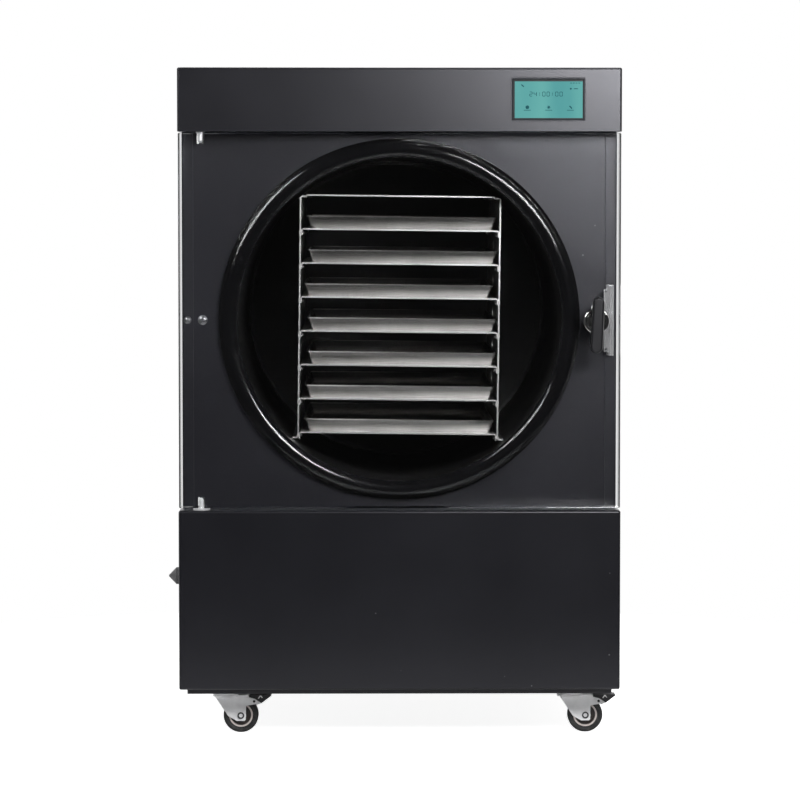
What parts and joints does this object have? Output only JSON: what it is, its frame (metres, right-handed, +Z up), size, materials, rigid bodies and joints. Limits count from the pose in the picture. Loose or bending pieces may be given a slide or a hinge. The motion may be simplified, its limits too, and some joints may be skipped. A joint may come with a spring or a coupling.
{
  "type": "freeze dryer",
  "caption": "Floor-standing freeze dryer on castors, with a round vacuum chamber behind a clear hinged door and a rack of drying trays.",
  "frame": {"origin": "on the floor under the middle of the whole object's box", "axes": "+Z up, +Y from the front door to the rear, +X to the right as seen from the front"},
  "size_m": [0.6478, 0.7613, 0.944],
  "materials": {
    "cabinet_paint": "satin anthracite powder coat",
    "inner_paint": "satin anthracite powder coat",
    "base_paint": "satin black",
    "cradle_steel": "zinc plated sheet",
    "chamber_coat": "dark coating, semi-gloss",
    "gasket_rubber": "glossy black silicone rubber",
    "coil_copper": "drawn copper tube",
    "rack_steel": "fine brushed stainless steel",
    "tray_steel": "brushed stainless steel",
    "door_clear": "polished clear acrylic",
    "pin_steel": "polished steel",
    "handle_black": "satin black moulded plastic",
    "rose_chrome": "polished chrome",
    "cam_steel": "zinc plated steel",
    "strike_chrome": "polished chrome",
    "screw_steel": "darkened steel",
    "bezel_black": "dark frame",
    "screen_glass": "lit colour display behind glass",
    "castor_zinc": "bright zinc plate",
    "hub_plastic": "dark brown moulded hub",
    "tyre_rubber": "grey-black rubber",
    "pedal_black": "black moulded plastic",
    "compressor_black": "black enamel",
    "condenser_aluminium": "plain aluminium fins",
    "fan_black": "black moulded plastic",
    "valve_grey": "grey moulded plastic",
    "knob_grey": "grey moulded plastic",
    "port_steel": "turned stainless steel",
    "inlet_black": "black moulded plastic"
  },
  "bodies": {
    "root": {"base_frame": "base_paint", "left_side_panel": "cabinet_paint", "right_side_panel": "cabinet_paint", "rear_panel": "cabinet_paint", "lower_front_panel": "cabinet_paint", "head_cover": "cabinet_paint", "head_underpan": "inner_paint", "front_bulkhead": "inner_paint", "chamber_cradle": "cradle_steel", "vacuum_chamber": "chamber_coat", "chamber_gasket": "gasket_rubber", "evaporator_coil": "coil_copper", "rack_left_side": "rack_steel", "rack_right_side": "rack_steel", "rack_top_plate": "rack_steel", "shelf_1": "rack_steel", "shelf_2": "rack_steel", "shelf_3": "rack_steel", "shelf_4": "rack_steel", "shelf_5": "rack_steel", "shelf_6": "rack_steel", "shelf_7": "rack_steel", "tray_1": "tray_steel", "tray_2": "tray_steel", "tray_3": "tray_steel", "tray_4": "tray_steel", "tray_5": "tray_steel", "tray_6": "tray_steel", "tray_7": "tray_steel", "hinge_pins": "pin_steel", "strike_plate": "strike_chrome", "panel_screws": "screw_steel", "touchscreen_bezel": "bezel_black", "touchscreen_panel": "screen_glass", "castor_plates": "castor_zinc", "compressor": "compressor_black", "condenser": "condenser_aluminium", "drain_valve": "valve_grey", "vacuum_port": "port_steel", "power_inlet": "inlet_black"},
    "door": {"door_pane": "door_clear", "handle_rose": "rose_chrome"},
    "latch": {"door_handle": "handle_black", "latch_cam": "cam_steel"},
    "front_left_castor": {"front_left_fork": "castor_zinc"},
    "front_left_roller": {"front_left_wheel": "hub_plastic", "front_left_tyre": "tyre_rubber"},
    "front_right_castor": {"front_right_fork": "castor_zinc"},
    "front_right_roller": {"front_right_wheel": "hub_plastic", "front_right_tyre": "tyre_rubber"},
    "rear_left_castor": {"rear_left_fork": "castor_zinc"},
    "rear_left_roller": {"rear_left_wheel": "hub_plastic", "rear_left_tyre": "tyre_rubber"},
    "rear_right_castor": {"rear_right_fork": "castor_zinc"},
    "rear_right_roller": {"rear_right_wheel": "hub_plastic", "rear_right_tyre": "tyre_rubber"},
    "left_pedal": {"left_brake_pedal": "pedal_black"},
    "right_pedal": {"right_brake_pedal": "pedal_black"},
    "drain_tap": {"drain_knob": "knob_grey"},
    "fan": {"condenser_fan": "fan_black"}
  },
  "joints": [
    {"name": "door_hinge", "type": "hinge", "parent": "root", "child": "door", "pos_m": [-0.2641, -0.33035, 0.59075], "axis": [0, 0, -1], "range_deg": [0, 105]},
    {"name": "handle_turn", "type": "hinge", "parent": "door", "child": "latch", "pos_m": [0.2889, -0.34435, 0.59075], "axis": [0, 1, 0], "range_deg": [0, 90]},
    {"name": "front_left_swivel", "type": "hinge", "parent": "root", "child": "front_left_castor", "pos_m": [-0.2321, -0.25935, 0.05], "axis": [0, 0, 1], "continuous": true},
    {"name": "front_left_roll", "type": "hinge", "parent": "front_left_castor", "child": "front_left_roller", "pos_m": [-0.2121, -0.25935, 0.025], "axis": [0, 1, 0], "continuous": true},
    {"name": "front_right_swivel", "type": "hinge", "parent": "root", "child": "front_right_castor", "pos_m": [0.2599, -0.25935, 0.05], "axis": [0, 0, 1], "continuous": true},
    {"name": "front_right_roll", "type": "hinge", "parent": "front_right_castor", "child": "front_right_roller", "pos_m": [0.2799, -0.25935, 0.025], "axis": [0, 1, 0], "continuous": true},
    {"name": "rear_left_swivel", "type": "hinge", "parent": "root", "child": "rear_left_castor", "pos_m": [-0.2321, 0.27065, 0.05], "axis": [0, 0, 1], "continuous": true},
    {"name": "rear_left_roll", "type": "hinge", "parent": "rear_left_castor", "child": "rear_left_roller", "pos_m": [-0.2121, 0.27065, 0.025], "axis": [0, 1, 0], "continuous": true},
    {"name": "rear_right_swivel", "type": "hinge", "parent": "root", "child": "rear_right_castor", "pos_m": [0.2599, 0.27065, 0.05], "axis": [0, 0, 1], "continuous": true},
    {"name": "rear_right_roll", "type": "hinge", "parent": "rear_right_castor", "child": "rear_right_roller", "pos_m": [0.2799, 0.27065, 0.025], "axis": [0, 1, 0], "continuous": true},
    {"name": "left_brake", "type": "hinge", "parent": "front_left_castor", "child": "left_pedal", "pos_m": [-0.1931, -0.25935, 0.0452], "axis": [0, 1, 0], "range_deg": [0, 8]},
    {"name": "right_brake", "type": "hinge", "parent": "front_right_castor", "child": "right_pedal", "pos_m": [0.2989, -0.25935, 0.0452], "axis": [0, 1, 0], "range_deg": [0, 8]},
    {"name": "drain_turn", "type": "hinge", "parent": "root", "child": "drain_tap", "pos_m": [-0.3121, -0.09435, 0.206], "axis": [-1, 0, 0], "range_deg": [0, 90]},
    {"name": "fan_spin", "type": "hinge", "parent": "root", "child": "fan", "pos_m": [0.2339, 0.18065, 0.191], "axis": [1, 0, 0], "continuous": true}
  ]
}
